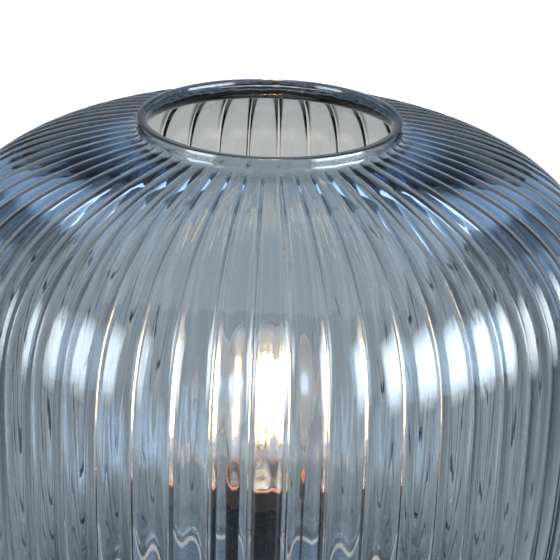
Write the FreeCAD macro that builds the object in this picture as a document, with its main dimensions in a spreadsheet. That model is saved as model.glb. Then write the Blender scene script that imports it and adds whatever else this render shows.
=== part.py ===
import FreeCAD, Part

import os
from math import acos, cos, pi, sin, tan
from types import SimpleNamespace

import Sketcher

# Table lamp with an open-topped shade of ribbed, mould-blown glass, all sizes in millimetres.
# The origin is on the surface the lamp stands on, below the middle of the shade. +Z is up and
# the cord inlet faces +Y. The lamp stands on rubber feet under a steel dish filled by a cast
# ballast; a hollow threaded nipple through the dish carries the lampholder, and the shade's
# ground foot stands on a silicone ring on the dish's ledge.

DIMENSIONS = (
    ("shade_top", 275.0, "height of the shade's ground rim"),
    ("shade_radius", 150.0, "shade, outer radius at its widest"),
    ("shade_waist", 187.3, "height where the shade is widest"),
    ("shade_foot", 22.3, "height of the shade's ground foot"),
    ("shade_wall", 3.4, "shade, wall thickness in a valley"),
    ("neck_radius", 57.2, "shade, outer radius of the neck's bead"),
    ("neck_bore", 53.3, "shade, inner radius of the neck"),
    ("bead_height", 4.8, "neck's bead, height above the dome"),
    ("foot_radius", 98.0, "shade, outer radius of the foot collar"),
    ("foot_collar", 6.5, "height of the foot collar"),
    ("rib_depth", 1.4, "shade's rib, crest above valley, half of which thickens the wall"),
    ("base_radius", 106.0, "base dish, outer radius"),
    ("gauge", 1.5, "sheet thickness of the base dish and plate"),
    ("dish_edge", 2.0, "height of the dish's lower edge"),
    ("ledge_height", 20.0, "height of the dish's ledge"),
    ("dish_shoulder", 8.0, "dish, outer rounding"),
    ("boss_radius", 88.0, "raised middle of the dish, radius"),
    ("boss_height", 27.0, "raised middle of the dish, height"),
    ("seat_radius", 101.0, "silicone seat ring, outer radius"),
    ("seat_thickness", 2.0, "silicone seat ring, thickness"),
    ("seat_lip", 5.5, "seat ring, height of its centring lip"),
    ("lip_radius", 93.5, "seat ring, outer radius of the lip"),
    ("foot_pad_height", 2.5, "rubber foot, height"),
    ("foot_pad_radius", 8.0, "rubber foot, radius"),
    ("plate_radius", 103.8, "bottom plate, radius"),
    ("ballast_radius", 84.0, "ballast, outer radius"),
    ("ballast_bottom", 6.5, "ballast, height of its underside"),
    ("ballast_cavity", 34.0, "ballast, radius of the wiring space"),
    ("web_bottom", 20.0, "ballast, height of the web's underside"),
    ("channel_width", 16.0, "ballast, width of the cord channel"),
    ("fixing_circle", 72.0, "plate screws, radius of their circle"),
    ("screw_radius", 2.0, "M4 screw, radius"),
    ("nipple_radius", 5.0, "M10 x 1 nipple, outer radius"),
    ("nipple_bore", 3.6, "nipple, bore radius"),
    ("nipple_bottom", 11.0, "nipple, lower end"),
    ("nipple_top", 53.5, "nipple, upper end"),
    ("nut_height", 5.0, "nipple nut, height"),
    ("washer_thickness", 1.2, "nipple washer, thickness"),
    ("inlet_height", 11.0, "cord inlet, height of its axis"),
    ("inlet_bore", 3.5, "cord inlet, bore radius"),
    ("sleeve_radius", 17.0, "pedestal sleeve, radius"),
    ("sleeve_top", 48.0, "pedestal sleeve, upper end"),
    ("holder_radius", 17.4, "lampholder, outer radius"),
    ("holder_joint", 72.0, "lampholder, height where cap and body meet"),
    ("holder_top", 105.0, "lampholder, height of its rim"),
    ("ring_radius", 18.8, "lampholder ring, outer radius"),
    ("ring_height", 10.0, "lampholder ring, height"),
    ("block_bottom", 60.0, "contact block, underside"),
    ("block_top", 72.5, "contact block, top"),
    ("thread_pitch", 3.629, "E27 thread, pitch"),
    ("thread_radius", 12.6, "E27 lamp cap, mean radius of the thread"),
    ("thread_depth", 0.5, "E27 thread, half its depth"),
    ("thread_play", 0.2, "radial play between lamp cap and socket"),
    ("shell_wall", 0.4, "wall of the two threaded shells"),
    ("shell_top", 98.0, "socket shell, upper edge"),
    ("bulb_tip", 74.0, "bulb, height of its centre contact"),
    ("bulb_radius", 30.0, "bulb, radius"),
    ("bulb_centre", 149.0, "bulb, height of its centre"),
    ("bulb_neck", 13.0, "bulb, radius of the neck"),
    ("bulb_wall", 0.8, "bulb, glass thickness"),
    ("cap_top", 101.0, "lamp cap, upper edge"),
    ("filament_radius", 1.0, "light rod, radius"),
    ("filament_length", 38.0, "light rod, length"),
    ("filament_bottom", 124.0, "light rods, lower ends"),
    ("filament_circle", 8.0, "light rods, radius of their circle"),
    ("filament_count", 6, "number of light rods"),
    ("wire_radius", 1.0, "inner wires, radius over the insulation"),
)

FIT = 0.05          # radial clearance of a screw or nipple in its hole
GLASS_IN_CAP = 1.2  # depth of the bulb's neck inside the lamp cap
NECK_WALL = 6.0     # height of the straight bore inside the shade's neck
THROAT = ((1.2, 8.2), (4.0, 9.0))   # two points of the throat: outside the bore, below the rim
CURVE_STEPS = 14    # steps along each half of the shade's outline
SHEET = "Sheet"

doc = FreeCAD.newDocument("table_lamp")


class Size:
    """A length that carries its value and the sheet formula that gives it."""

    def __init__(self, value, formula):
        self.value = float(value)
        self.formula = formula

    def joined(self, sign, other, value):
        right = other.formula if isinstance(other, Size) else repr(other)
        return Size(value, f"({self.formula} {sign} {right})")

    def __float__(self):
        return self.value

    def __add__(self, other):
        return self.joined("+", other, self.value + float(other))

    def __sub__(self, other):
        return self.joined("-", other, self.value - float(other))

    def __mul__(self, other):
        return self.joined("*", other, self.value * float(other))

    def __truediv__(self, other):
        return self.joined("/", other, self.value / float(other))


def write_sheet():
    """Fills the spreadsheet and gives each of its aliases as a Size."""
    sheet = doc.addObject("Spreadsheet::Sheet", SHEET)
    for row, (alias, value, meaning) in enumerate(DIMENSIONS, start=1):
        sheet.set(f"A{row}", str(value))
        sheet.setAlias(f"A{row}", alias)
        sheet.set(f"B{row}", meaning)
    doc.recompute()
    return SimpleNamespace(**{
        alias: Size(sheet.get(alias), f"{SHEET}.{alias}") for alias, _, _ in DIMENSIONS
    })


D = write_sheet()


# ---------------------------------------------------------------- general helpers

def bind(item, name, length):
    """Sets a size, and ties it to the sheet where the sheet drives it."""
    if isinstance(length, Size):
        item.setExpression(name, length.formula)
    else:
        setattr(item, name, length)


def put(item, x=0.0, y=0.0, z=0.0, axis=(0, 0, 1), angle=0.0):
    """Places a piece, with a height or distance that the sheet drives tied to it."""
    at = FreeCAD.Vector(float(x), float(y), float(z))
    item.Placement = FreeCAD.Placement(at, FreeCAD.Rotation(FreeCAD.Vector(*axis), angle))
    for name, length in (("x", x), ("y", y), ("z", z)):
        if isinstance(length, Size):
            item.setExpression(f"Placement.Base.{name}", length.formula)
    return item


def origin_plane(body, role):
    return next(item for item in body.Origin.OriginFeatures if item.Role == role)


def outline(body, corners):
    """A closed outline of (radius, height) corners in the body's XZ plane, fully dimensioned."""
    sketch = body.newObject("Sketcher::SketchObject", body.Name + "_outline")
    sketch.AttachmentSupport = (origin_plane(body, "XZ_Plane"), [""])
    sketch.MapMode = "FlatFace"
    points = [FreeCAD.Vector(float(x), float(z), 0) for x, z in corners]
    count = len(points)
    for i in range(count):
        sketch.addGeometry(Part.LineSegment(points[i], points[(i + 1) % count]), False)
    for i in range(count):
        sketch.addConstraint(Sketcher.Constraint("Coincident", i, 2, (i + 1) % count, 1))
    for i, corner in enumerate(corners):
        for kind, axis, length in (("DistanceX", -2, corner[0]), ("DistanceY", -1, corner[1])):
            if float(length) == 0:
                sketch.addConstraint(Sketcher.Constraint("PointOnObject", i, 1, axis))
                continue
            index = sketch.addConstraint(Sketcher.Constraint(kind, i, 1, float(length)))
            if isinstance(length, Size):
                sketch.setExpression(f"Constraints[{index}]", length.formula)
    return sketch


def circle_edges(shape, radius, height):
    """Names of the circular edges about the upright axis at a radius and height."""
    names = []
    for i, edge in enumerate(shape.Edges, start=1):
        if not isinstance(edge.Curve, Part.Circle):
            continue
        centre = edge.Curve.Center
        if abs(edge.Curve.Radius - radius) < 0.01 and abs(centre.z - height) < 0.01:
            names.append(f"Edge{i}")
    return names


def turned(label, corners, rounds=()):
    """A turned piece; rounds lists (corner number, fillet radius)."""
    body = doc.addObject("PartDesign::Body", label)
    sketch = outline(body, corners)
    turn = body.newObject("PartDesign::Revolution", label + "_turn")
    turn.Profile = sketch
    turn.ReferenceAxis = (sketch, ["V_Axis"])
    turn.Angle = 360
    body.Tip = turn
    doc.recompute()
    for number, radius in rounds:
        x, z = corners[number]
        base = body.Tip
        fillet = body.newObject("PartDesign::Fillet", f"{label}_round_{number}")
        fillet.Base = (base, circle_edges(base.Shape, float(x), float(z)))
        bind(fillet, "Radius", radius)
        body.Tip = fillet
        doc.recompute()
    return put(body)


def rod(name, radius, length, **place):
    item = doc.addObject("Part::Cylinder", name)
    bind(item, "Radius", radius)
    bind(item, "Height", length)
    return put(item, **place)


def block(name, width, depth, height, **place):
    item = doc.addObject("Part::Box", name)
    for prop, length in (("Length", width), ("Width", depth), ("Height", height)):
        bind(item, prop, length)
    return put(item, **place)


def fuse(label, pieces):
    item = doc.addObject("Part::MultiFuse", label)
    item.Shapes = pieces
    return item


def cut(label, base, tool):
    item = doc.addObject("Part::Cut", label)
    item.Base = base
    item.Tool = tool
    return item


def group(label, pieces):
    """Separate solids that share one node."""
    item = doc.addObject("Part::Compound", label)
    item.Links = pieces
    return item


def ring_of(count, radius, first=0.0):
    """Points spaced evenly round the upright axis, with the angle of each in degrees."""
    for i in range(int(count)):
        angle = first + 360.0 * i / count
        yield radius * cos(angle * pi / 180), radius * sin(angle * pi / 180), angle


def computed(label, shape):
    item = doc.addObject("Part::Feature", label)
    item.Shape = shape
    return put(item)


def round_skin(stations, steps, radius_at):
    """A smooth skin about the upright axis: a row of poles at each station, steps per turn.

    The poles lie a little outside the skin, so that the skin itself has the asked radius.
    """
    loss = (2 + cos(2 * pi / steps)) / 3
    poles = []
    for i in range(steps):
        angle = 2 * pi * i / steps
        row = []
        for station in stations:
            radius, height = radius_at(angle, station)
            radius /= loss
            row.append(FreeCAD.Vector(radius * cos(angle), radius * sin(angle), height))
        poles.append(row)
    rows = len(stations)
    skin = Part.BSplineSurface()
    skin.buildFromPolesMultsKnots(
        poles, [1] * (steps + 1), [4] + [1] * (rows - 4) + [4],
        list(range(steps + 1)), list(range(rows - 2)), True, False, 3, 3)
    return skin.toShape()


def end_edge(skin, height):
    """The skin's closed edge that lies in the level plane at a height."""
    for edge in skin.Edges:
        bounds = edge.BoundBox
        if bounds.ZLength < 0.001 and abs(bounds.ZMin - height) < 0.001:
            return edge
    raise RuntimeError(f"no edge at height {height}")


def between_skins(outer, inner, low, high):
    """The solid between two skins that both end in the planes low and high."""
    faces = [outer, inner]
    for height in (low, high):
        wires = [Part.Wire(end_edge(skin, height)) for skin in (outer, inner)]
        faces.append(Part.makeFace(wires, "Part::FaceMakerBullseye"))
    shell = Part.makeShell(faces)
    shell.sewShape()
    solid = Part.makeSolid(shell)
    if solid.Volume < 0:
        solid.reverse()
    return solid


def upright(radius, height):
    return FreeCAD.Vector(radius, 0, height)


def straight(first, last):
    return Part.makeLine(upright(*first), upright(*last))


def curve_through(points):
    curve = Part.BSplineCurve()
    curve.interpolate([upright(*point) for point in points])
    return curve.toShape()


def revolved(edges):
    """The solid that a closed outline in the XZ plane sweeps about the upright axis."""
    face = Part.Face(Part.Wire(edges))
    solid = face.revolve(FreeCAD.Vector(), FreeCAD.Vector(0, 0, 1), 360)
    if solid.Volume < 0:
        solid.reverse()
    return solid


def bezier(points, share):
    """The point at a share of the way along a cubic curve with four (radius, height) poles."""
    rest = 1 - share
    weights = (rest ** 3, 3 * rest ** 2 * share, 3 * rest * share ** 2, share ** 3)
    return tuple(sum(w * p[axis] for w, p in zip(weights, points)) for axis in (0, 1))


# ---------------------------------------------------------------- shade

def shade_outline():
    """The shade's outer line along the ribs' crests, from the neck down to the foot."""
    top, waist, foot = float(D.shade_top), float(D.shade_waist), float(D.shade_foot)
    widest = float(D.shade_radius)
    neck, bead = float(D.neck_radius), float(D.bead_height)
    base, collar = float(D.foot_radius), float(D.foot_collar)
    dome = ((neck, top - bead), (neck + 60.7, top - bead - 10.7),
            (widest, waist + 52.9), (widest, waist))
    lower = ((widest, waist), (widest, 110.0), (widest - 4, 38.0), (base + 1, foot + collar))
    points = [(neck, top - 0.9 * bead)]
    points += [bezier(dome, step / CURVE_STEPS) for step in (0.3, 0.9, *range(2, CURVE_STEPS))]
    points += [bezier(lower, step / CURVE_STEPS)
               for step in (*range(CURVE_STEPS - 1), CURVE_STEPS - 0.8, CURVE_STEPS - 0.2)]
    return points + [(base, foot + 0.8 * collar)]


def inner_line(line, wall):
    """A line set in from the outer one by the wall, along its normals."""
    inner = []
    for i, (radius, height) in enumerate(line):
        before, after = line[max(i - 1, 0)], line[min(i + 1, len(line) - 1)]
        along = (after[0] - before[0], after[1] - before[1])
        size = (along[0] ** 2 + along[1] ** 2) ** 0.5
        inner.append((radius + along[1] / size * wall, height - along[0] / size * wall))
    return inner


def glass_shade():
    """Blown shade: a wall from crest line to inner line, with a ground neck and foot."""
    outside = shade_outline()
    bore, top, foot = float(D.neck_bore), float(D.shade_top), float(D.shade_foot)
    foot_bore = float(D.foot_radius) - float(D.shade_wall)
    inside = [(bore, top - NECK_WALL)] + [(bore + out, top - down) for out, down in THROAT]
    inside += inner_line(outside, float(D.shade_wall) + float(D.rib_depth) / 2)[3:-1]
    inside += [(foot_bore, outside[-1][1])]
    neck, base = float(D.neck_radius), float(D.foot_radius)
    edges = [
        straight((neck, top), outside[0]), curve_through(outside),
        straight(outside[-1], (base, foot)), straight((base, foot), (foot_bore, foot)),
        straight((foot_bore, foot), inside[-1]), curve_through(inside[::-1]),
        straight(inside[0], (bore, top)), straight((bore, top), (neck, top)),
    ]
    return computed("glass_shade", revolved(edges))


# ---------------------------------------------------------------- base

def base_cover():
    """Pressed steel dish with a ledge for the shade and a raised middle for the lampholder."""
    hole = D.nipple_radius + FIT
    corners = [
        (D.base_radius, D.dish_edge), (D.base_radius, D.ledge_height),
        (D.boss_radius, D.ledge_height), (D.boss_radius, D.boss_height),
        (hole, D.boss_height), (hole, D.boss_height - D.gauge),
        (D.boss_radius - D.gauge, D.boss_height - D.gauge),
        (D.boss_radius - D.gauge, D.ledge_height - D.gauge),
        (D.base_radius - D.gauge, D.ledge_height - D.gauge),
        (D.base_radius - D.gauge, D.dish_edge),
    ]
    rounds = [(1, D.dish_shoulder), (8, D.dish_shoulder - D.gauge), (3, D.gauge * 2), (6, D.gauge)]
    dish = turned("base_dish", corners, rounds)
    hole_tool = rod("inlet_hole", D.inlet_bore + 2 + FIT, 10, y=D.base_radius - 8,
                    z=D.inlet_height, axis=(1, 0, 0), angle=-90)
    return cut("base_cover", dish, hole_tool)


def shade_seat_ring():
    """Silicone ring on the ledge, with a lip that keeps the shade centred."""
    bore = D.boss_radius + 0.3
    top = D.ledge_height + D.seat_thickness
    corners = [
        (bore, D.ledge_height), (D.seat_radius, D.ledge_height), (D.seat_radius, top),
        (D.lip_radius, top), (D.lip_radius, D.ledge_height + D.seat_lip),
        (bore, D.ledge_height + D.seat_lip),
    ]
    return turned("shade_seat_ring", corners, [(2, D.seat_thickness / 4), (4, D.seat_thickness / 2)])


def ballast_ring():
    """Cast iron weight: a ring with a thin web in the middle, four pads and a cord channel."""
    hole = D.nipple_radius + FIT
    top = D.boss_height - D.gauge
    corners = [
        (hole, D.web_bottom), (D.ballast_cavity, D.web_bottom),
        (D.ballast_cavity, D.ballast_bottom), (D.ballast_radius, D.ballast_bottom),
        (D.ballast_radius, top), (hole, top),
    ]
    ring = turned("ballast_casting", corners, [(3, 1.5), (4, 2.5)])
    pads = []
    holes = []
    for i, (x, y, _) in enumerate(ring_of(4, float(D.fixing_circle), 45)):
        pads.append(rod(f"ballast_pad_{i}", 6, D.ballast_bottom - 3, x=x, y=y, z=4.0))
        holes.append(rod(f"ballast_hole_{i}", D.screw_radius + FIT, 12, x=x, y=y, z=3.0))
    for i, side in enumerate((-1, 1)):
        holes.append(rod(f"clamp_hole_{i}", 1.5 + FIT, 9, x=side * 13.0, y=60.0, z=4.0))
    earth = rod("earth_hole", 1.5 + FIT, 4, x=-20.0, y=-12.0, z=D.web_bottom - 1)
    channel = block("cord_channel", D.channel_width, 60, D.ballast_bottom + 4,
                    x=D.channel_width / -2, y=D.ballast_cavity - 2, z=5.5)
    cast = fuse("ballast_solid", [ring, *pads])
    return cut("ballast_ring", cast, fuse("ballast_cuts", [*holes, earth, channel]))


def bottom_plate():
    """Steel plate closing the dish from below."""
    disc = rod("plate_disc", D.plate_radius, D.gauge, z=D.foot_pad_height)
    holes = [rod(f"plate_hole_{i}", D.screw_radius + 0.3, 4, x=x, y=y, z=1.0)
             for i, (x, y, _) in enumerate(ring_of(4, float(D.fixing_circle), 45))]
    return cut("bottom_plate", disc, fuse("plate_holes", holes))


def screw(name, shank, length, head, head_height, slot, **place):
    """A slotted pan-head screw pointing up from its head, which lies below the placement."""
    x, y, z = place["x"], place["y"], place["z"]
    top = rod(name + "_head", head, head_height, x=x, y=y, z=z - head_height)
    body = rod(name + "_shank", shank, length, x=x, y=y, z=z)
    groove = block(name + "_slot", 2 * head + 1, slot, head_height / 2,
                   x=x - head - 0.5, y=y - slot / 2, z=z - head_height)
    return cut(name, fuse(name + "_blank", [top, body]), groove)


def bottom_plate_screws():
    spots = ring_of(4, float(D.fixing_circle), 45)
    return group("bottom_plate_screws", [
        screw(f"plate_screw_{i}", float(D.screw_radius), 10.0, 3.6, 1.8, 1.0, x=x, y=y, z=2.5)
        for i, (x, y, _) in enumerate(spots)])


def foot_pads():
    spots = ring_of(4, 88.0)
    return group("foot_pads", [
        rod(f"foot_pad_{i}", D.foot_pad_radius, D.foot_pad_height, x=x, y=y)
        for i, (x, y, _) in enumerate(spots)])


def cord_inlet_bush():
    """Flanged plastic bush pressed into the dish's wall, which the mains cord passes through."""
    place = {"z": D.inlet_height, "axis": (1, 0, 0), "angle": -90}
    barrel = rod("bush_barrel", D.inlet_bore + 2, 8, y=D.base_radius - 7, **place)
    flange = rod("bush_flange", D.inlet_bore + 3.2, 2, y=D.base_radius + 0.1, **place)
    bore = rod("bush_bore", D.inlet_bore, 20, y=D.base_radius - 10, **place)
    return cut("cord_inlet_bush", fuse("bush_solid", [barrel, flange]), bore)


def cord_clamp():
    """Strip across the cord channel, with a ridge that bites the cord."""
    strip = block("clamp_strip", 36, 9, 1.8, x=-18, y=55.5, z=4.5)
    ridge = block("clamp_ridge", 12, 3, 1.5, x=-6, y=58.5, z=5.7)
    holes = [rod(f"clamp_eye_{i}", 1.7, 4, x=side * 13.0, y=60.0, z=3.5)
             for i, side in enumerate((-1, 1))]
    return cut("cord_clamp", fuse("clamp_bar", [strip, ridge]), fuse("clamp_eyes", holes))


def cord_clamp_screws():
    return group("cord_clamp_screws", [
        rod(f"clamp_screw_{i}", 1.5, 7.5, x=side * 13.0, y=60.0, z=4.3)
        for i, side in enumerate((-1, 1))])


EARTH_WAY, LIVE_WAY, NEUTRAL_WAY = -8.0, 0.0, 8.0     # sideways places of the three ways
TERMINALS = (EARTH_WAY, LIVE_WAY, NEUTRAL_WAY)
TERMINAL_FRONT = 14.0            # front face of the terminal block
TERMINAL_HEIGHT = 8.0            # height of the terminals' axes


def terminal_block():
    """Three-way plastic connector in the ballast's wiring space."""
    body = block("terminal_body", 24, 15, 8, x=-12, y=TERMINAL_FRONT, z=5)
    cuts = []
    for i, x in enumerate(TERMINALS):
        cuts.append(rod(f"terminal_bore_{i}", 2.0, 20, x=x, y=TERMINAL_FRONT - 2,
                        z=TERMINAL_HEIGHT, axis=(1, 0, 0), angle=-90))
        cuts.append(rod(f"terminal_well_{i}", 1.5, 8, x=x, y=TERMINAL_FRONT + 7.5,
                        z=TERMINAL_HEIGHT))
    return cut("terminal_block", body, fuse("terminal_cuts", cuts))


def terminal_barrels():
    pieces = []
    for i, x in enumerate(TERMINALS):
        barrel = rod(f"barrel_blank_{i}", 2.0 - FIT, 11, x=x, y=TERMINAL_FRONT + 2,
                     z=TERMINAL_HEIGHT, axis=(1, 0, 0), angle=-90)
        bore = rod(f"barrel_bore_{i}", 1.1, 20, x=x, y=TERMINAL_FRONT - 2,
                   z=TERMINAL_HEIGHT, axis=(1, 0, 0), angle=-90)
        tap = rod(f"barrel_tap_{i}", 1.05, 6, x=x, y=TERMINAL_FRONT + 7.5, z=TERMINAL_HEIGHT)
        pieces.append(cut(f"barrel_{i}", barrel, fuse(f"barrel_cuts_{i}", [bore, tap])))
    return group("terminal_barrels", pieces)


def terminal_screws():
    return group("terminal_screws", [
        rod(f"terminal_screw_{i}", 1.0, 3.2, x=x, y=TERMINAL_FRONT + 7.5,
            z=TERMINAL_HEIGHT + 1.3)
        for i, x in enumerate(TERMINALS)])


def earth_screw():
    x, y = -20.0, -12.0
    return screw("earth_screw", 1.5, 3.5, 3.0, 1.5, 0.8, x=x, y=y, z=float(D.web_bottom) - 0.8)


def earth_tag():
    """Ring tag under the earth screw's head."""
    x, y = -20.0, -12.0
    eye = rod("tag_eye", 3.5, 0.8, x=x, y=y, z=D.web_bottom - 0.8)
    tail = block("tag_tail", 2.4, 9, 0.8, x=x - 1.2, y=y, z=D.web_bottom - 0.8)
    hole = rod("tag_hole", 1.6, 3, x=x, y=y, z=D.web_bottom - 2)
    return cut("earth_tag", fuse("tag_solid", [eye, tail]), hole)


# ---------------------------------------------------------------- nipple and lampholder

def threaded_nipple():
    corners = [(D.nipple_bore, D.nipple_bottom), (D.nipple_radius, D.nipple_bottom),
               (D.nipple_radius, D.nipple_top), (D.nipple_bore, D.nipple_top)]
    return turned("threaded_nipple", corners, [(1, 0.5), (2, 0.5)])


def nipple_washer():
    """Toothed lock washer between the nut and the ballast's web."""
    disc = rod("washer_disc", 9.5, D.washer_thickness, z=D.web_bottom - D.washer_thickness)
    notches = [rod("washer_bore", D.nipple_radius + 0.2, 4, z=D.web_bottom - 3)]
    for i, (x, y, _) in enumerate(ring_of(12, 10.0)):
        notches.append(rod(f"washer_notch_{i}", 1.2, 4, x=x, y=y, z=D.web_bottom - 3))
    return cut("nipple_washer", disc, fuse("washer_cuts", notches))


def nipple_nut():
    bottom = D.web_bottom - D.washer_thickness - D.nut_height
    hexagon = doc.addObject("Part::Prism", "nut_hexagon")
    hexagon.Polygon = 6
    bind(hexagon, "Circumradius", D.nipple_radius * 1.7)
    bind(hexagon, "Height", D.nut_height)
    put(hexagon, z=bottom)
    return cut("nipple_nut", hexagon, rod("nut_bore", D.nipple_radius + FIT, 12, z=bottom - 1))


def pedestal_sleeve():
    """Black steel cup turned over the nipple, which lifts the lampholder off the base."""
    hole = D.nipple_radius + FIT
    corners = [
        (hole, D.sleeve_top - 2), (D.sleeve_radius - 2, D.sleeve_top - 2),
        (D.sleeve_radius - 2, D.boss_height), (D.sleeve_radius, D.boss_height),
        (D.sleeve_radius, D.sleeve_top), (hole, D.sleeve_top),
    ]
    return turned("pedestal_sleeve", corners, [(4, 1.0)])


def lampholder_cap():
    """Lower half of the lampholder, screwed onto the nipple."""
    hole = D.nipple_radius + FIT
    bore = D.holder_radius - 1.9
    corners = [
        (hole, D.sleeve_top), (D.holder_radius - 3, D.sleeve_top),
        (D.holder_radius, D.sleeve_top + 3), (D.holder_radius, D.holder_joint),
        (bore, D.holder_joint), (bore, D.sleeve_top + 4), (hole, D.sleeve_top + 4),
    ]
    shell = turned("lampholder_cap_shell", corners, [(1, 1.0), (2, 1.0), (5, 1.5)])
    return cut("lampholder_cap", shell, grub("grub_hole", 1.2 + FIT, 14))


def grub(name, radius, length):
    """A rod lying along the grub screw's axis, from beside the nipple outwards."""
    return rod(name, radius, length, x=D.nipple_radius + 0.2, z=D.sleeve_top + 2,
               axis=(0, 1, 0), angle=90)


def lampholder_body():
    """Upper half: a skirt with a ridged thread below the ring, screwed into the cap."""
    bore = D.holder_radius - 3.2
    spigot = D.holder_radius - 2.0
    root = D.holder_radius - 0.9
    joint = D.holder_joint + 0.2
    corners = [(bore, joint - 8), (spigot, joint - 8), (spigot, joint), (D.holder_radius, joint)]
    ring_bottom = D.holder_top - D.ring_height
    for turn in (2, 1, 0):
        crest = ring_bottom - 1.5 - 3.2 * turn
        corners += [(D.holder_radius, crest - 1.1), (root, crest - 0.8),
                    (root, crest + 0.3), (D.holder_radius, crest + 0.6)]
    corners += [(D.holder_radius, ring_bottom), (root, ring_bottom),
                (root, D.holder_top), (bore, D.holder_top)]
    return turned("lampholder_body", corners, [(len(corners) - 2, 0.8), (len(corners) - 1, 0.8)])


def lampholder_ring():
    """Glossy ring screwed down over the lampholder's rim."""
    bore = D.holder_radius - 0.9 + FIT
    bottom = D.holder_top - D.ring_height + FIT
    top = D.holder_top + 0.2
    corners = [(bore, bottom), (D.ring_radius, bottom), (D.ring_radius, top), (bore, top)]
    return turned("lampholder_ring", corners, [(1, 0.8), (2, 1.0)])


def contact_block():
    """Steatite block that holds the contacts."""
    disc = rod("block_disc", D.holder_radius - 3.4, D.block_top - D.block_bottom,
               z=D.block_bottom)
    wells = [rod(f"block_well_{i}", 2.6, 4, x=side * 7.0, z=D.block_bottom - 1)
             for i, side in enumerate((-1, 1))]
    return cut("contact_block", disc, fuse("block_wells", wells))


def contact_screws():
    """Brass clamping screws in the block's two wells."""
    return group("contact_screws", [
        rod(f"contact_screw_{i}", 1.6, 2.6, x=side * 7.0, y=0, z=D.block_bottom + 0.3)
        for i, side in enumerate((-1, 1))])


def thread_skins(mean, low, high, ends, side):
    """The threaded skin of a screw shell and its plain other skin, which lies on the given side.

    The thread fades out near both ends, where the shell has the plain radii that ends gives.
    """
    pitch, half_depth = float(D.thread_pitch), float(D.thread_depth)
    around, per_pitch = 24, 6
    lead = pitch / per_pitch
    rows = [low + lead * i for i in range(int(round((high - low) / lead)))] + [high]
    wave_loss = (2 + cos(2 * pi / per_pitch)) / 3
    fade = pitch / 2

    def ramp(height):
        share = min((height - low) / fade - 1, (high - height) / fade - 1)
        return max(0.0, min(1.0, share))

    def body(height):
        nearest = ends[0] if height - low < high - height else ends[1]
        return nearest + (mean - nearest) * ramp(height)

    def threaded(angle, height):
        wave = half_depth * ramp(height) * cos(2 * pi * height / pitch - angle)
        return body(height) + wave / wave_loss, height

    def smooth(_, height):
        inset = float(D.shell_wall) + half_depth * ramp(height)
        return body(height) + side * inset, height

    return round_skin(rows, around, threaded), round_skin(rows, around, smooth)


def socket_shell():
    """Brass screw shell of the lampholder, with its rounded thread inside."""
    mean = float(D.thread_radius) + float(D.thread_play)
    low, high = float(D.block_top), float(D.shell_top)
    inner, outer = thread_skins(mean, low, high, (mean + 0.5, mean + 0.6), 1)
    return computed("socket_shell", between_skins(outer, inner, low, high))


def centre_spring_contact():
    """Sprung tongue below the bulb's tip."""
    tongue = block("tongue", 16, 5, 0.5, x=-8, y=-2.5, z=D.block_top + 0.6)
    heel = block("tongue_heel", 2, 5, 0.8, x=-8, y=-2.5, z=D.block_top)
    return fuse("centre_spring_contact", [tongue, heel])


def holder_grub_screw():
    """Grub screw that stops the cap turning on the nipple."""
    return grub("holder_grub_screw", 1.2, 8)


# ---------------------------------------------------------------- wiring

def tube_along(points, bend, radius):
    """A round tube on straight runs joined by tangent arcs."""
    edges = []
    start = points[0]
    for before, corner, after in zip(points, points[1:], points[2:]):
        back, ahead = (before - corner), (after - corner)
        back.normalize()
        ahead.normalize()
        half_turn = (pi - acos(back.dot(ahead))) / 2
        reach = bend * tan(half_turn)
        first, last = corner + back * reach, corner + ahead * reach
        inward = back + ahead
        inward.normalize()
        middle = corner + inward * (bend / cos(half_turn) - bend)
        edges.append(Part.LineSegment(start, first).toShape())
        edges.append(Part.Arc(first, middle, last).toShape())
        start = last
    edges.append(Part.LineSegment(start, points[-1]).toShape())
    path = Part.Wire(edges)
    circle = Part.Wire(Part.makeCircle(radius, points[0], points[1] - points[0]))
    return path.makePipeShell([circle], True, False)


def inner_wire(label, terminal, side):
    """A wire from the terminal block up through the nipple to the contact block."""
    vector = FreeCAD.Vector
    column = side * 1.5
    points = [
        vector(terminal, TERMINAL_FRONT + 1.5, TERMINAL_HEIGHT),
        vector(terminal, TERMINAL_FRONT - 5, TERMINAL_HEIGHT),
        vector(column, 0, TERMINAL_HEIGHT - 0.6),
        vector(column, 0, float(D.nipple_top) + 1.2),
        vector(side * 7.0, 0, float(D.block_bottom) - 2.6),
        vector(side * 7.0, 0, float(D.block_bottom) + 0.1),
    ]
    return computed(label, tube_along(points, 1.9, float(D.wire_radius)))


def earth_wire():
    vector = FreeCAD.Vector
    under_tag = float(D.web_bottom) - 2.0
    points = [
        vector(EARTH_WAY, TERMINAL_FRONT + 1.5, TERMINAL_HEIGHT),
        vector(EARTH_WAY, TERMINAL_FRONT - 5, TERMINAL_HEIGHT),
        vector(-17, 4, TERMINAL_HEIGHT + 4),
        vector(-20, -4, under_tag),
    ]
    return computed("earth_wire", tube_along(points, 3.0, float(D.wire_radius)))


# ---------------------------------------------------------------- bulb

def bulb_line():
    """The bulb's outer line from the neck up to the top: a flared neck and a ball."""
    neck, radius, centre = float(D.bulb_neck), float(D.bulb_radius), float(D.bulb_centre)
    low = 40 * pi / 180
    join = (radius * cos(low), centre - radius * sin(low))
    along = (sin(low), cos(low))
    foot = float(D.cap_top) - GLASS_IN_CAP
    flare = ((neck, foot), (neck, foot + 12), (join[0] - 8 * along[0], join[1] - 8 * along[1]),
             join)
    return flare, low


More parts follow.
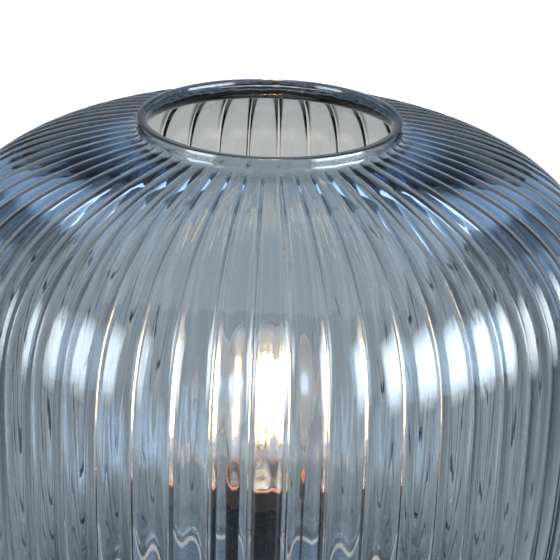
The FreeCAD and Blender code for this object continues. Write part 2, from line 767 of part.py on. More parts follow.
def bulb_glass():
    """Clear blown bulb, open at the neck where the stem closes it."""
    flare, low = bulb_line()
    wall, centre = float(D.bulb_wall), float(D.bulb_centre)
    edges = []
    ends = []
    for inset in (0.0, wall):
        radius = float(D.bulb_radius) - inset
        poles = [(x - inset, z) for x, z in flare[:2]]
        poles += [(x - inset * cos(low), z + inset * sin(low)) for x, z in flare[2:]]
        curve = Part.BezierCurve()
        curve.setPoles([upright(x, z) for x, z in poles])
        middle = low / 2 - pi / 4
        ball = Part.Arc(upright(*poles[3]),
                        upright(radius * cos(middle), centre - radius * sin(middle)),
                        upright(0, centre + radius))
        edges += [curve.toShape(), ball.toShape()]
        ends.append((upright(*poles[0]), upright(0, centre + radius)))
    edges.append(Part.LineSegment(ends[0][0], ends[1][0]).toShape())
    edges.append(Part.LineSegment(ends[0][1], ends[1][1]).toShape())
    return computed("bulb_glass", revolved(Part.__sortEdges__(edges)))


def bulb_cap():
    """Nickel-plated screw cap, with its rounded thread outside and a plain collar."""
    mean = float(D.thread_radius)
    low, high = float(D.bulb_tip) + 6, float(D.cap_top)
    ends = (mean - 2.6, float(D.bulb_neck) + 0.15 + float(D.shell_wall))
    outer, inner = thread_skins(mean, low, high, ends, -1)
    return computed("bulb_cap", between_skins(outer, inner, low, high))


def bulb_cap_insulator():
    """Black glass between the cap and its centre contact."""
    tip = D.bulb_tip
    corners = [(4.6, tip + 1.2), (6.4, tip + 1.2), (9.2, tip + 5.6), (9.2, tip + 8.0),
               (4.6, tip + 8.0)]
    return turned("bulb_cap_insulator", corners, [(1, 0.6)])


def bulb_centre_contact():
    tip = D.bulb_tip
    corners = [(0, tip), (3.6, tip), (4.5, tip + 0.9), (4.5, tip + 2.4), (0, tip + 2.4)]
    return turned("bulb_centre_contact", corners, [(1, 0.5)])


def bulb_stem():
    """Glass stem: a flare closing the neck, a tube and a thin rod up the middle."""
    base = D.cap_top - GLASS_IN_CAP
    rod_top = D.filament_bottom + D.filament_length + 2
    corners = [(0, base), (11.8, base), (11.8, base + 1), (5.0, base + 6), (3.2, base + 13),
               (3.2, base + 18), (1.4, base + 22), (1.4, rod_top), (0, rod_top)]
    return turned("bulb_stem", corners, [(3, 4.0), (5, 1.0)])


def bulb_filaments():
    """Light rods standing in a ring inside the ball."""
    return group("bulb_filaments", [
        rod(f"filament_{i}", D.filament_radius, D.filament_length, x=x, y=y,
            z=D.filament_bottom)
        for i, (x, y, _) in enumerate(ring_of(float(D.filament_count),
                                              float(D.filament_circle)))])


def bulb_support_wires():
    """Spokes from the stem to the ends of the light rods."""
    spokes = []
    length = float(D.filament_circle) - 2.0
    for level, height in enumerate((D.filament_bottom - 0.7,
                                    D.filament_bottom + D.filament_length + 0.7)):
        for i, (_, _, angle) in enumerate(ring_of(float(D.filament_count), 1.0)):
            spoke = doc.addObject("Part::Cylinder", f"spoke_{level}_{i}")
            spoke.Radius = 0.4
            spoke.Height = length + 1.0
            turn = FreeCAD.Rotation(FreeCAD.Vector(0, 0, 1), angle)
            lay = FreeCAD.Rotation(FreeCAD.Vector(0, 1, 0), 90)
            start = turn.multVec(FreeCAD.Vector(1.6, 0, 0)) + FreeCAD.Vector(0, 0, float(height))
            spoke.Placement = FreeCAD.Placement(start, turn.multiply(lay))
            spoke.setExpression("Placement.Base.z", height.formula)
            spokes.append(spoke)
    return group("bulb_support_wires", spokes)


def bulb_driver_board():
    """Round circuit board inside the lamp cap, with its largest components."""
    disc = rod("board_disc", 9.5, 1.2, z=D.bulb_tip + 14)
    can = rod("board_capacitor", 3.0, 6.0, x=-3.5, z=D.bulb_tip + 15)
    chip = block("board_chip", 5, 4, 2, x=2, y=-2, z=D.bulb_tip + 15)
    return fuse("bulb_driver_board", [disc, can, chip])


# ---------------------------------------------------------------- assembly

def build():
    return [
        glass_shade(), base_cover(), shade_seat_ring(), ballast_ring(), bottom_plate(),
        bottom_plate_screws(), foot_pads(), cord_inlet_bush(), cord_clamp(),
        cord_clamp_screws(), terminal_block(), terminal_barrels(), terminal_screws(),
        earth_screw(), earth_tag(), threaded_nipple(), nipple_washer(), nipple_nut(),
        pedestal_sleeve(), lampholder_cap(), lampholder_body(), lampholder_ring(),
        contact_block(), contact_screws(), socket_shell(), centre_spring_contact(),
        holder_grub_screw(), inner_wire("live_wire", LIVE_WAY, -1),
        inner_wire("neutral_wire", NEUTRAL_WAY, 1), earth_wire(), bulb_glass(), bulb_cap(),
        bulb_cap_insulator(), bulb_centre_contact(), bulb_stem(), bulb_filaments(),
        bulb_support_wires(), bulb_driver_board(),
    ]


def check(pieces):
    failed = [item.Name for item in doc.Objects
              if {"Invalid", "Error"} & set(item.State)]
    if failed:
        raise RuntimeError(f"failed objects: {failed}")
    for item in pieces:
        if item.Shape.isNull() or not item.Shape.isValid() or not item.Shape.Solids:
            raise RuntimeError(f"{item.Label} has no valid solid")


def write(pieces):
    os.makedirs("parts", exist_ok=True)
    for item in pieces:
        item.Shape.exportStep(f"parts/{item.Label}.step")
        solids = item.Shape.Solids
        print(item.Label, len(solids), round(sum(s.Volume for s in solids), 1))


pieces = build()
doc.recompute()
check(pieces)
write(pieces)
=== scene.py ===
import math

import bpy
import numpy as np
from mathutils import Matrix, Vector


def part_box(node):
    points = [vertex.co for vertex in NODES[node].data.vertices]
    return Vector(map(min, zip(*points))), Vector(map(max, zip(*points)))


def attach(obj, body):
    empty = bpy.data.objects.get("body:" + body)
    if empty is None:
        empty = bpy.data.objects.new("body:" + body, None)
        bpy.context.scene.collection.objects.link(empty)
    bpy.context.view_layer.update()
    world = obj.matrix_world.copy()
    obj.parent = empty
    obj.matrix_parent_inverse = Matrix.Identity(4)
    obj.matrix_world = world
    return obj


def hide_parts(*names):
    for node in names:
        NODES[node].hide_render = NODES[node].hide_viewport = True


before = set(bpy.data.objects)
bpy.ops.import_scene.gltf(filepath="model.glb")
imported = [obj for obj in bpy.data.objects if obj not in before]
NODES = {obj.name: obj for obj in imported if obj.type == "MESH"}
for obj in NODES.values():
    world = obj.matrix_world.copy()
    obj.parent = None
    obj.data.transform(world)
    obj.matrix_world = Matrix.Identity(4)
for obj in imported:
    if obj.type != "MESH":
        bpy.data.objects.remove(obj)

bpy.context.view_layer.update()

# Glass table lamp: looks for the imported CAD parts. Metres, +Z up, origin below the shade.
# The shade, the bulb's glass and its light rods are replaced by finer meshes; every other
# node keeps its CAD mesh and gets a material.

MM = 0.001
TURN = 2 * math.pi

# ---------------------------------------------------------------- places from the frame

SHADE_LOW, SHADE_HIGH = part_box("glass_shade")
RIM_Z = SHADE_HIGH.z
FOOT_Z = SHADE_LOW.z
SHADE_R = SHADE_HIGH.x
BULB_LOW, BULB_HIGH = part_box("bulb_glass")
BULB_R = BULB_HIGH.x
BULB_Z = BULB_HIGH.z - BULB_R
ROD_LOW, ROD_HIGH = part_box("bulb_filaments")

# ---------------------------------------------------------------- chosen sizes

RIBS = 60
RIB_DEPTH = 1.9 * MM
RIB_SHARPNESS = 3.8                 # the higher, the narrower the grooves between the ribs
RIB_PHASE = math.radians(1.15)
RIB_OFFSETS = np.array([-0.46, -0.41, -0.34, -0.24, -0.12, 0.0, 0.12, 0.24, 0.34, 0.41, 0.46, 0.5])
INNER_WAVE = 0.35 * MM              # relief that the ribs leave on the inside
WALL = 4.2 * MM                     # from the crests to the inside
WAIST_DROP = 87.7 * MM              # from the rim down to the widest point
NECK, BORE, BEAD = 57.2 * MM, 53.3 * MM, 4.8 * MM
HEM = 0.22 * MM                     # waviness of the bead's lower edge
THROAT = 5.5 * MM                   # rounding below the neck's bore
FOOT, COLLAR, FOOT_WALL = 98 * MM, 6.5 * MM, 3.4 * MM
EDGE = 0.3 * MM                     # rounding of ground edges

BULB_WALL, BULB_NECK = 0.8 * MM, 13.0 * MM
BALL_END = math.radians(118)        # where the bulb's ball turns into its neck, from the top
AXIS_GAP = 0.02 * MM                # radius of the tiny ring that closes the ball at the top
RODS, ROD_R, ROD_CIRCLE = 6, 1.5 * MM, 8 * MM

FLOOR_SIDE = 12.0                   # half the floor's width
BOX_DISTANCE = 1.4                  # from the lamp to the soft panels

# ---------------------------------------------------------------- helpers


def link(obj):
    """Puts an object into the scene and gives it back."""
    bpy.context.scene.collection.objects.link(obj)
    return obj


def mesh_object(name, points, faces):
    """A smooth-shaded mesh in the scene."""
    mesh = bpy.data.meshes.new(name)
    mesh.from_pydata(points, [], faces)
    mesh.shade_smooth()
    return link(bpy.data.objects.new(name, mesh))


def grid_mesh(name, points):
    """A closed quad mesh from points[row, column]: rows and columns both close on themselves."""
    rows, cols = points.shape[:2]
    row = np.arange(rows)[:, None]
    col = np.arange(cols)[None, :]
    here, ahead = row * cols, (row + 1) % rows * cols
    beside = (col + 1) % cols
    quads = np.stack([here + col, ahead + col, ahead + beside, here + beside], -1)
    return mesh_object(name, points.reshape(-1, 3).tolist(), quads.reshape(-1, 4).tolist())


def lathe(profile, columns):
    """Points of a closed profile of (radius, height) turned about the upright axis."""
    angle = np.arange(columns) / columns * TURN
    profile = np.array(profile)
    return np.stack([profile[:, :1] * np.cos(angle), profile[:, :1] * np.sin(angle),
                     np.repeat(profile[:, 1:], columns, 1)], -1)


def flat_panel(name, wide, tall, height=0.0):
    """A level rectangle twice as wide and as tall as the two half sizes."""
    return mesh_object(name, [(-wide, -tall, height), (wide, -tall, height),
                              (wide, tall, height), (-wide, tall, height)], [(0, 1, 2, 3)])


def set_in(line, wall):
    """A line set in from another by the wall, along its normals."""
    along = np.gradient(line, axis=0)
    along /= np.linalg.norm(along, axis=1)[:, None]
    return line + wall * np.stack([along[:, 1], -along[:, 0]], 1)


def cubic(p, count, start=0.0):
    """Points along a cubic curve with four poles, from the share start to its end."""
    t = np.linspace(start, 1.0, count)[:, None]
    p = np.array(p)
    return ((1 - t) ** 3 * p[0] + 3 * (1 - t) ** 2 * t * p[1]
            + 3 * (1 - t) * t ** 2 * p[2] + t ** 3 * p[3])


class Nodes:
    """A material's node tree with short calls for adding and joining nodes."""

    def __init__(self, name):
        self.material = bpy.data.materials.new(name)
        self.material.use_nodes = True
        self.tree = self.material.node_tree
        self.tree.nodes.clear()
        self.out = self.tree.nodes.new("ShaderNodeOutputMaterial")
        self.shader = self.tree.nodes.new("ShaderNodeBsdfPrincipled")
        self.join(self.shader, "BSDF", self.out, "Surface")
        self.place = self.add("TexCoord")

    def add(self, kind, **values):
        """A new node; each value goes to the input of that name, or else to the property."""
        node = self.tree.nodes.new("ShaderNode" + kind)
        for name, value in values.items():
            if name in node.inputs:
                node.inputs[name].default_value = value
            else:
                setattr(node, name, value)
        return node

    def join(self, source, output, target, socket):
        self.tree.links.new(source.outputs[output], target.inputs[socket])

    def set(self, **values):
        """Values of the shader's own sockets."""
        for name, value in values.items():
            self.shader.inputs[name.replace("_", " ")].default_value = value

    def math(self, operation, source, output, second=0.0):
        """A Math node; second is a number or a (node, output) pair."""
        node = self.add("Math", operation=operation)
        self.join(source, output, node, 0)
        if isinstance(second, tuple):
            self.join(*second, node, 1)
        else:
            node.inputs[1].default_value = second
        return node

    def stretched(self, across=(1, 1, 1)):
        """Object coordinates scaled by across along X, Y and Z."""
        mapping = self.add("Mapping", Scale=across)
        self.join(self.place, "Object", mapping, "Vector")
        return mapping, "Vector"

    def axes(self):
        """Object coordinates split into X, Y and Z."""
        split = self.add("SeparateXYZ")
        self.join(self.place, "Object", split, 0)
        return split

    def distance_out(self, split):
        """The distance from the upright axis."""
        square = self.math("POWER", split, "X", 2.0)
        other = self.math("POWER", split, "Y", 2.0)
        return self.math("SQRT", self.math("ADD", square, 0, (other, 0)), 0)

    def wrapped(self, radius):
        """Coordinates unrolled about the upright axis: arc length and height."""
        split = self.axes()
        angle = self.math("ARCTAN2", split, "Y", (split, "X"))
        arc = self.math("MULTIPLY", angle, 0, radius)
        flat = self.add("CombineXYZ")
        self.join(arc, 0, flat, "X")
        self.join(split, "Z", flat, "Y")
        return flat, "Vector"

    def noise(self, where, scale, detail=3.0, across=(1, 1, 1)):
        """Noise over coordinates (node, output) that across stretches."""
        mapping = self.add("Mapping", Scale=across)
        self.join(*where, mapping, "Vector")
        node = self.add("TexNoise", Scale=scale, Detail=detail)
        self.join(mapping, "Vector", node, "Vector")
        return node

    def fall(self, source, output, start, stop, low, high):
        """A number that goes from low to high while the source goes from start to stop."""
        node = self.add("MapRange")
        for name, value in (("From Min", start), ("From Max", stop), ("To Min", low),
                            ("To Max", high)):
            node.inputs[name].default_value = value
        self.join(source, output, node, "Value")
        return node

    def roughness(self, noise, low, high):
        """Roughness from low to high as the noise goes from its usual least to its most."""
        self.join(self.fall(noise, 0, 0.3, 0.7, low, high), "Result", self.shader, "Roughness")

    def tint(self, source, dark, light):
        """Base colour from dark to light as the source goes from its usual least to its most."""
        ramp = self.add("ValToRGB")
        ramp.color_ramp.elements[0].position = 0.32
        ramp.color_ramp.elements[1].position = 0.68
        ramp.color_ramp.elements[0].color = (*dark, 1)
        ramp.color_ramp.elements[1].color = (*light, 1)
        self.join(source, 0, ramp, "Fac")
        self.join(ramp, "Color", self.shader, "Base Color")

    def bump(self, layers):
        """Relief from layers of (height source, depth in metres), one on the other."""
        last = None
        for source, depth in layers:
            node = self.add("Bump", Strength=1.0, Distance=depth)
            self.join(source, 0, node, "Height")
            if last:
                self.join(last, "Normal", node, "Normal")
            last = node
        self.join(last, "Normal", self.shader, "Normal")


# ---------------------------------------------------------------- materials


def blue_glass():
    """Blown blue-grey glass: drawn streaks along the ribs, slow ripples across them."""
    m = Nodes("ribbed_blue_glass")
    m.set(Base_Color=(1, 1, 1, 1), Transmission_Weight=1.0, IOR=1.5)
    volume = m.add("VolumeAbsorption", Color=(0.30, 0.455, 0.58, 1), Density=250.0)
    m.join(volume, "Volume", m.out, "Volume")
    sheet = m.wrapped(SHADE_R)
    streaks = m.noise(sheet, 420.0, 2.0, (1, 0.02, 1))
    ripples = m.noise(sheet, 110.0, 1.5, (0.35, 1, 1))
    swell = m.noise(sheet, 26.0, 1.0, (1, 0.6, 1))
    m.bump([(swell, 130e-6), (ripples, 14e-6), (streaks, 9e-6)])
    smears = m.noise(m.stretched((1, 1, 0.5)), 30.0, 4.0)
    m.roughness(smears, 0.0, 0.012)
    return m.material


def clear_glass():
    """The bulb's glass, which softens the glare of the lit rods a little."""
    m = Nodes("clear_bulb_glass")
    m.set(Base_Color=(1, 1, 1, 1), Transmission_Weight=1.0, IOR=1.45)
    m.bump([(m.noise(m.stretched(), 60.0, 1.0), 60e-6)])
    m.roughness(m.noise(m.stretched(), 90.0), 0.10, 0.16)
    return m.material


def solid(name, dark, light, rough, metallic=0.0, grain=400.0, relief=6e-6, coat=0.0):
    """An opaque finish: mottled colour, uneven gloss and a fine relief, all from noise."""
    m = Nodes(name)
    m.set(Metallic=metallic, Coat_Weight=coat)
    where = m.stretched()
    fine = m.noise(where, grain, 4.0)
    broad = m.noise(where, grain * 0.13)
    m.tint(broad, dark, light)
    m.roughness(fine, *rough)
    m.bump([(fine, relief)])
    return m.material


def spun(name, dark, light, rough):
    """Metal turned or brushed round the upright axis: fine rings in colour, gloss and relief."""
    m = Nodes(name)
    m.set(Metallic=1.0)
    split = m.axes()
    rings = m.add("CombineXYZ")
    m.join(m.distance_out(split), 0, rings, "X")
    m.join(split, "Z", rings, "Y")
    fine = m.noise((rings, "Vector"), 3500.0, 2.0)
    m.tint(m.noise(m.stretched(), 25.0), dark, light)
    m.roughness(fine, *rough)
    m.bump([(fine, 3e-6)])
    return m.material


def light_rod():
    """Phosphor skin of a lit rod: warm white, a little deeper in patches."""
    m = Nodes("lit_phosphor_rod")
    m.set(Roughness=0.6, Emission_Color=(1.0, 0.58, 0.25, 1), Emission_Strength=130.0)
    m.tint(m.noise(m.stretched(), 900.0), (1.0, 0.62, 0.2), (1.0, 0.78, 0.4))
    m.bump([(m.noise(m.stretched(), 1500.0), 30e-6)])
    return m.material


def striped(name, base, stripe):
    """Wire insulation banded in two colours."""
    m = Nodes(name)
    wave = m.add("TexWave", Scale=90.0, Distortion=1.0)
    m.join(m.place, "Object", wave, "Vector")
    m.tint(wave, base, stripe)
    m.roughness(m.noise(m.stretched(), 500.0), 0.3, 0.45)
    m.bump([(m.noise(m.stretched(), 700.0), 10e-6)])
    return m.material


def board():
    """Green circuit board with paler copper runs under the lacquer."""
    m = Nodes("driver_board")
    brick = m.add("TexBrick", Scale=260.0, Color1=(0.02, 0.16, 0.07, 1),
                  Color2=(0.03, 0.22, 0.09, 1), Mortar=(0.35, 0.4, 0.12, 1))
    brick.inputs["Mortar Size"].default_value = 0.03
    m.join(m.place, "Object", brick, "Vector")
    m.join(brick, "Color", m.shader, "Base Color")
    m.roughness(m.noise(m.stretched(), 600.0), 0.25, 0.4)
    m.bump([(brick, 20e-6)])
    return m.material


def finishes():
    """The material of every node that keeps its CAD mesh, apart from the bulb's glass stem."""
    steel = spun("spun_satin_steel", (0.5, 0.51, 0.53), (0.62, 0.63, 0.65), (0.22, 0.38))
    zinc = solid("zinc_plate", (0.5, 0.5, 0.47), (0.68, 0.67, 0.62), (0.22, 0.42), 1.0, 700.0)
    brass = solid("bright_brass", (0.66, 0.46, 0.17), (0.82, 0.62, 0.27), (0.16, 0.34), 1.0, 600.0)
    black = solid("black_phenolic", (0.008, 0.008, 0.009), (0.02, 0.019, 0.018), (0.2, 0.32),
                  0.0, 350.0, 5e-6, coat=0.15)
    coat = solid("black_powder_coat", (0.012, 0.012, 0.013), (0.026, 0.026, 0.027), (0.34, 0.55),
                 0.0, 1400.0, 30e-6)
    white = solid("natural_nylon", (0.72, 0.71, 0.66), (0.84, 0.83, 0.78), (0.38, 0.55), 0.0,
                  500.0, 12e-6)
    return {
        "base_cover": steel,
        "shade_seat_ring": solid("milky_silicone", (0.62, 0.64, 0.64), (0.74, 0.76, 0.76),
                                 (0.42, 0.6), 0.0, 300.0, 15e-6),
        "ballast_ring": solid("cast_iron", (0.03, 0.03, 0.03), (0.07, 0.065, 0.06), (0.5, 0.8),
                              0.3, 260.0, 120e-6),
        "bottom_plate": solid("coated_steel_plate", (0.03, 0.03, 0.033), (0.05, 0.05, 0.055),
                              (0.35, 0.55), 0.0, 900.0, 20e-6),
        "bottom_plate_screws": zinc,
        "foot_pads": solid("matt_rubber", (0.016, 0.016, 0.016), (0.035, 0.034, 0.033),
                           (0.65, 0.9), 0.0, 900.0, 40e-6),
        "cord_inlet_bush": solid("black_nylon", (0.014, 0.014, 0.015), (0.028, 0.028, 0.029),
                                 (0.35, 0.5), 0.0, 600.0, 12e-6),
        "cord_clamp": white,
        "cord_clamp_screws": zinc,
        "terminal_block": white,
        "terminal_barrels": brass,
        "terminal_screws": zinc,
        "earth_screw": zinc,
        "earth_tag": brass,
        "threaded_nipple": zinc,
        "nipple_washer": zinc,
        "nipple_nut": zinc,
        "pedestal_sleeve": coat,
        "lampholder_cap": black,
        "lampholder_body": black,
        # Painted warm glow: the ring's brown is partly its own brown phenolic and partly the bulb's
        # warm light reflected on the collar, painted into its base colour.
        "lampholder_ring": solid("brown_phenolic_with_painted_warm_glow", (0.20, 0.10, 0.06),
                                 (0.28, 0.15, 0.09), (0.14, 0.26), 0.0, 350.0, 5e-6, coat=0.5),
        "contact_block": solid("steatite", (0.74, 0.71, 0.64), (0.85, 0.83, 0.77), (0.5, 0.7),
                               0.0, 500.0, 25e-6),
        "contact_screws": brass,
        "socket_shell": brass,
        "centre_spring_contact": brass,
        "holder_grub_screw": zinc,
        "live_wire": solid("brown_insulation", (0.14, 0.06, 0.03), (0.2, 0.09, 0.045),
                           (0.3, 0.45), 0.0, 500.0, 10e-6),
        "neutral_wire": solid("blue_insulation", (0.02, 0.11, 0.36), (0.04, 0.16, 0.46),
                              (0.3, 0.45), 0.0, 500.0, 10e-6),
        "earth_wire": striped("green_yellow_insulation", (0.05, 0.3, 0.05), (0.75, 0.65, 0.06)),
        "bulb_cap": solid("nickel_plate", (0.6, 0.57, 0.52), (0.76, 0.73, 0.69), (0.12, 0.28),
                          1.0, 500.0),
        "bulb_cap_insulator": solid("black_vitrite", (0.01, 0.01, 0.014), (0.03, 0.028, 0.035),
                                    (0.08, 0.2), 0.0, 300.0),
        "bulb_centre_contact": solid("tin_solder", (0.5, 0.5, 0.52), (0.66, 0.66, 0.68),
                                     (0.25, 0.45), 1.0, 700.0, 30e-6),
        "bulb_support_wires": solid("nickel_wire", (0.55, 0.52, 0.47), (0.72, 0.69, 0.64),
                                    (0.15, 0.3), 1.0, 900.0),
        "bulb_driver_board": board(),
    }


# ---------------------------------------------------------------- shade


def shade_crests():
    """The outer line along the crests as (radius, height): the dome and the half below it."""
    waist = RIM_Z - WAIST_DROP
    dome = cubic([(NECK, RIM_Z - BEAD), (NECK + 60.7 * MM, RIM_Z - BEAD - 10.7 * MM),
                  (SHADE_R, waist + 52.9 * MM), (SHADE_R, waist)], 30, 0.03)
    lower = cubic([(SHADE_R, waist), (SHADE_R, 110 * MM), (SHADE_R - 4 * MM, 38 * MM),
                   (FOOT + MM, FOOT_Z + COLLAR)], 25)[1:]
    return dome, lower


def shade_outside(dome, lower):
    """Outer line from the ground rim, down the neck's bead and the crests, to the foot."""
    bulge = NECK + 0.15 * MM
    top = [(NECK - EDGE, RIM_Z), (NECK - 0.1 * MM, RIM_Z - 0.3 * EDGE), (NECK, RIM_Z - EDGE),
           (bulge, RIM_Z - 0.35 * BEAD), (bulge, RIM_Z - 0.65 * BEAD),
           (NECK, RIM_Z - 0.9 * BEAD), (NECK + 0.5 * MM, RIM_Z - BEAD - 0.25 * MM)]
    bottom = [(FOOT, FOOT_Z + 0.6 * COLLAR), (FOOT, FOOT_Z + EDGE), (FOOT - EDGE, FOOT_Z)]
    return np.concatenate([top, dome, lower, bottom])


def shade_inside(dome, lower):
    """Inner line from the ground bore, round the throat and down the wall, to the foot."""
    inner = set_in(np.concatenate([dome[4:], lower]), WALL)
    inner[:, 0] = np.minimum(inner[:, 0], SHADE_R - WALL)
    neck_wall = [(BORE + EDGE, RIM_Z), (BORE, RIM_Z - EDGE), (BORE, RIM_Z - 2.2 * MM)]
    turn = np.radians([0, 16, 32, 48, 64, 78])
    throat = np.stack([BORE + THROAT * (1 - np.cos(turn)),
                       RIM_Z - 4.2 * MM - THROAT * np.sin(turn)], 1)
    bore = FOOT - FOOT_WALL
    foot_wall = [(bore, FOOT_Z + 0.6 * COLLAR), (bore, FOOT_Z + EDGE), (bore + EDGE, FOOT_Z)]
    inner = inner[inner[:, 0] > throat[-1, 0] + MM]
    return np.concatenate([neck_wall, throat, inner, foot_wall])


def rib_strength(line):
    """Share of the ribs' full depth: none on the neck and the foot, full on the sides."""
    reach = np.clip((line[:, 0] - 57.4 * MM) / (3.0 * MM), 0, 1)
    low = np.clip((line[:, 1] - FOOT_Z - 7 * MM) / (6 * MM), 0, 1)
    body = np.clip(0.55 + 0.45 * (line[:, 0] - 57 * MM) / (60 * MM), 0, 1)
    return (reach * low * body)[:, None]


def carried_round(line, angle, rise, lift=0.0):
    """Points of a line turned to each angle, moved out by rise and up by lift."""
    along = np.gradient(line, axis=0)
    along /= np.linalg.norm(along, axis=1)[:, None]
    normal = np.stack([-along[:, 1], along[:, 0]], 1)
    place = line[:, None, :] + normal[:, None, :] * rise[:, :, None]
    height = place[..., 1] + lift
    return np.stack([place[..., 0] * np.cos(angle), place[..., 0] * np.sin(angle), height], -1)


def glass_shade():
    """Blown shade: rounded ribs that differ a little, and a plain bead round the neck."""
    dome, lower = shade_crests()
    outer, inner = shade_outside(dome, lower), shade_inside(dome, lower)
    chance = np.random.default_rng(7)
    rib = np.repeat(np.arange(RIBS), len(RIB_OFFSETS))
    sway = chance.normal(0, 0.012, RIBS)[rib]
    deep = (1 + chance.normal(0, 0.07, RIBS))[rib]
    offset = np.tile(RIB_OFFSETS, RIBS)
    angle = (rib + offset + sway) / RIBS * TURN + RIB_PHASE
    groove = -np.abs(2 * offset) ** RIB_SHARPNESS * deep
    wave = np.cos(TURN * offset)
    hem = HEM * np.sin(angle * 23 + 2 * np.sin(angle * 7))
    edge = np.exp(-((outer[:, 1] - RIM_Z + BEAD) / MM) ** 2) * (outer[:, 0] < 60 * MM)
    outside = carried_round(outer, angle, rib_strength(outer) * RIB_DEPTH * groove,
                            edge[:, None] * hem)
    inside = carried_round(inner, angle, rib_strength(inner) * INNER_WAVE * wave)
    shade = grid_mesh("shade_glass", np.concatenate([outside, inside[::-1]]))
    shade.data.materials.append(blue_glass())
    shade.visible_shadow = False
    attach(shade, "shade")
    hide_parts("glass_shade")


# ---------------------------------------------------------------- bulb


def bulb_envelope(glass):
    """Thin blown bulb: a ball that flares into its neck, with a wall of even thickness."""
    foot = BULB_LOW.z
    ball = [(BULB_R * math.sin(a), BULB_Z + BULB_R * math.cos(a))
            for a in np.linspace(math.radians(2), BALL_END, 40)]
    join = ball[-1]
    lean = (9 * MM * math.cos(BALL_END), -9 * MM * math.sin(BALL_END))
    flare = cubic([join, (join[0] + lean[0], join[1] + lean[1]),
                   (BULB_NECK, foot + 13 * MM), (BULB_NECK, foot)], 18)[1:]
    outer = np.concatenate([[(AXIS_GAP, BULB_HIGH.z)], ball, flare])
    inner = set_in(outer, BULB_WALL)
    inner[0, 0] = AXIS_GAP
    inner[:, 0] = np.maximum(inner[:, 0], AXIS_GAP)
    inner[-1, 1] = foot
    bulb = grid_mesh("bulb_envelope", lathe(np.concatenate([outer, inner[::-1]]), 96))
    bulb.data.materials.append(glass)
    bulb.visible_shadow = False
    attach(bulb, "bulb_ball")
    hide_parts("bulb_glass")


def light_rods():
    """Six lit rods in a ring, rounded at both ends."""
    high, low = ROD_HIGH.z - 0.4 * MM - ROD_R, ROD_LOW.z + 0.4 * MM + ROD_R
    ends = [(ROD_R * math.cos(a), ROD_R * math.sin(a)) for a in np.radians([0, 30, 60, 85])]
    side = ([(r, high + h) for r, h in ends][::-1]
            + [(ROD_R, z) for z in np.linspace(high, low, 12)[1:-1]]
            + [(r, low - h) for r, h in ends])
    columns = 16
    last_row = (len(side) - 1) * columns
    points, faces = [], []
    for i in range(RODS):
        at = TURN * i / RODS
        centre = np.array([ROD_CIRCLE * math.cos(at), ROD_CIRCLE * math.sin(at), 0])
        first = len(points)
        points += (lathe(side, columns) + centre).reshape(-1, 3).tolist()
        for a in range(first, first + last_row, columns):
            b = a + columns
            for col in range(columns):
                beside = (col + 1) % columns
                faces.append((a + col, b + col, b + beside, a + beside))
        faces.append(tuple(first + col for col in range(columns)))
        faces.append(tuple(first + last_row + col for col in reversed(range(columns))))
    rods = mesh_object("bulb_light_rods", points, faces)
    rods.data.materials.append(light_rod())
    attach(rods, "bulb_screw")
    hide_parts("bulb_filaments")


# ---------------------------------------------------------------- stage


def top_light():
    """A wide light overhead, which the glass doesn't mirror."""
    data = bpy.data.lights.new("top", "AREA")
    data.shape = "RECTANGLE"
    data.size, data.size_y = 3, 3
    data.energy = 100
    lamp = link(bpy.data.objects.new("top", data))
    lamp.location = (0, 0.5, 2.2)
    lamp.visible_camera = False
    lamp.visible_glossy = False


def glow(name, colour):
    """A black surface that only glows; the caller joins the strength."""
    m = Nodes(name)
    m.set(Base_Color=(0, 0, 0, 1), Roughness=1.0, Emission_Color=(*colour, 1))
    return m


def softbox(name, bearing, height, size, strength):
    """A soft panel round the lamp at a bearing in degrees, 0 in front, brightest in its middle."""
    turn = math.radians(bearing)
    place = Vector((BOX_DISTANCE * math.sin(turn), -BOX_DISTANCE * math.cos(turn), height))
    wide, tall = size[0] / 2, size[1] / 2
    m = glow(name + "_glow", (0.84, 0.93, 1.0))
    split = m.axes()
    across = m.fall(m.math("ABSOLUTE", split, "X"), 0, 0.75 * wide, wide, strength, 0.0)
    along = m.fall(m.math("ABSOLUTE", split, "Y"), 0, 0.35 * tall, tall, 1.0, 0.0)
    m.join(m.math("MULTIPLY", across, 0, (along, 0)), 0, m.shader, "Emission Strength")
    panel = flat_panel(name, wide, tall)
    panel.data.materials.append(m.material)
    panel.location = place
    panel.rotation_mode = "QUATERNION"
    panel.rotation_quaternion = (Vector((0, 0, 0.2)) - place).to_track_quat("Z", "Y")
    panel.visible_camera = False
    panel.visible_diffuse = False
    panel.visible_shadow = False


def through_floor():
    """The floor as the glass shows it: a glowing pale strip behind the lamp, with a painted shadow
    close round the lamp and dimmer to both sides.
    """
    m = glow("floor_through_glass", (1, 0.86, 0.73))
    split = m.axes()
    # Painted shadow: the glow drops to a tenth close round the lamp's foot, where the lamp would
    # shade the floor.
    below = m.fall(m.distance_out(split), 0, 0.12, 0.24, 0.10, 0.98)
    across = m.fall(m.math("ABSOLUTE", split, "X"), 0, 0.24, 0.42, 1.0, 0.34)
    m.join(m.math("MULTIPLY", below, 0, (across, 0)), 0, m.shader, "Emission Strength")
    plane = flat_panel("floor_through_glass", FLOOR_SIDE, FLOOR_SIDE, -0.5 * MM)
    plane.data.materials.append(m.material)
    plane.visible_camera = False
    plane.visible_glossy = False
    plane.visible_diffuse = False
    plane.visible_shadow = False


def colour_ramp(tree, source, output, tone, stops, last):
    """A ramp of greys in one tone; stops lists (place, brightness), last is the end's colour."""
    ramp = tree.nodes.new("ShaderNodeValToRGB")
    elements = ramp.color_ramp.elements
    elements[-1].color = (*last, 1)
    for i, (place, shade) in enumerate(stops):
        stop = elements.new(place) if i else elements[0]
        stop.position = place
        stop.color = (*(shade * part for part in tone), 1)
    tree.links.new(source.outputs[output], ramp.inputs["Fac"])
    return ramp


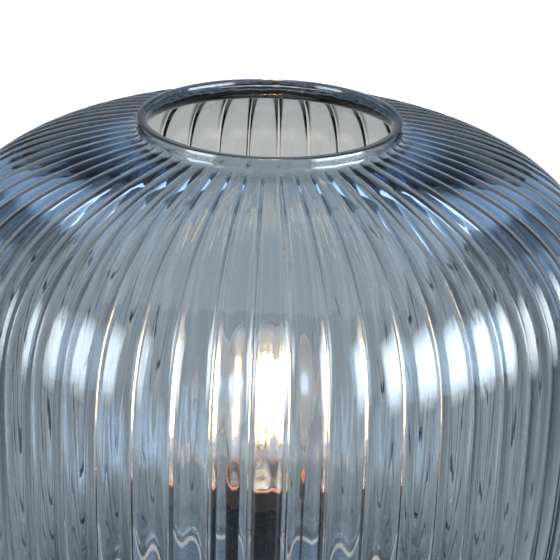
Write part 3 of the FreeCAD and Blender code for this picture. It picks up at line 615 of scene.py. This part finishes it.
def studio_world():
    """Bright near the horizon and in bands to both sides, dark in front, behind and below.

    The glass shows its edges by this contrast.
    """
    world = bpy.data.worlds.new("studio")
    bpy.context.scene.world = world
    world.use_nodes = True
    tree = world.node_tree
    where = tree.nodes.new("ShaderNodeTexCoord")
    split = tree.nodes.new("ShaderNodeSeparateXYZ")
    tree.links.new(where.outputs["Generated"], split.inputs[0])
    aside = tree.nodes.new("ShaderNodeMath")
    aside.operation = "ABSOLUTE"
    tree.links.new(split.outputs["X"], aside.inputs[0])
    levels = colour_ramp(tree, split, "Z", (0.90, 1.0, 1.14), (
        (0.0, 0.05), (0.02, 0.60), (0.24, 0.62), (0.42, 0.32)), (0.30, 0.32, 0.35))
    bands = colour_ramp(tree, aside, 0, (0.82, 0.97, 1.16), (
        (0.28, 0.0), (0.34, 1.05), (0.48, 1.15), (0.54, 0.08), (0.68, 0.08), (0.74, 1.05)),
        (0.72, 0.84, 0.96))
    lighter = tree.nodes.new("ShaderNodeMix")
    lighter.data_type = "RGBA"
    lighter.blend_type = "LIGHTEN"
    lighter.inputs[0].default_value = 1.0
    tree.links.new(levels.outputs["Color"], lighter.inputs[6])
    tree.links.new(bands.outputs["Color"], lighter.inputs[7])
    tree.links.new(lighter.outputs[2], tree.nodes["Background"].inputs["Color"])


def stage():
    """A pale floor, a studio round it and three lights."""
    floor = flat_panel("floor", FLOOR_SIDE, FLOOR_SIDE)
    floor.data.materials.append(solid("pale_floor", (0.8, 0.8, 0.8), (0.82, 0.82, 0.82),
                                      (0.8, 0.95), 0.0, 40.0, 1e-6))
    floor.visible_glossy = False
    floor.visible_transmission = False
    through_floor()
    studio_world()
    top_light()
    softbox("left_box", -58, 0.46, (0.8, 1.3), 14)
    softbox("right_box", 60, 0.48, (1.4, 1.3), 19)


def camera():
    """A long lens 22 degrees above the horizon, tilted a little to one side."""
    yaw, pitch, roll = 0.00679, 0.378262, -0.0304064    # radians
    ahead = Vector((math.sin(yaw) * math.cos(pitch), math.cos(yaw) * math.cos(pitch),
                    -math.sin(pitch)))
    right = Vector((math.cos(yaw), -math.sin(yaw), 0))
    down = ahead.cross(right)
    side = right * math.cos(roll) + down * math.sin(roll)
    up = right * math.sin(roll) - down * math.cos(roll)
    data = bpy.data.cameras.new("camera")
    data.lens = 147.15
    data.sensor_width = 36
    cam = link(bpy.data.objects.new("camera", data))
    turn = Matrix((side, up, -ahead)).transposed()
    cam.matrix_world = Matrix.Translation((0, -0.9375, RIM_Z + 0.2975)) @ turn.to_4x4()
    bpy.context.scene.camera = cam


def look():
    """Plain colours, and enough bounces for light to cross many glass walls."""
    scene = bpy.context.scene
    scene.view_settings.view_transform = "Standard"
    scene.cycles.max_bounces = 20
    scene.cycles.transmission_bounces = 20
    scene.cycles.glossy_bounces = 8
    scene.cycles.caustics_reflective = False
    scene.cycles.caustics_refractive = False


stage()
camera()
look()
glass_shade()
clear = clear_glass()
bulb_envelope(clear)
light_rods()
NODES["bulb_stem"].data.materials[0] = clear
NODES["bulb_stem"].visible_shadow = False
for node, finish in finishes().items():
    NODES[node].data.materials[0] = finish
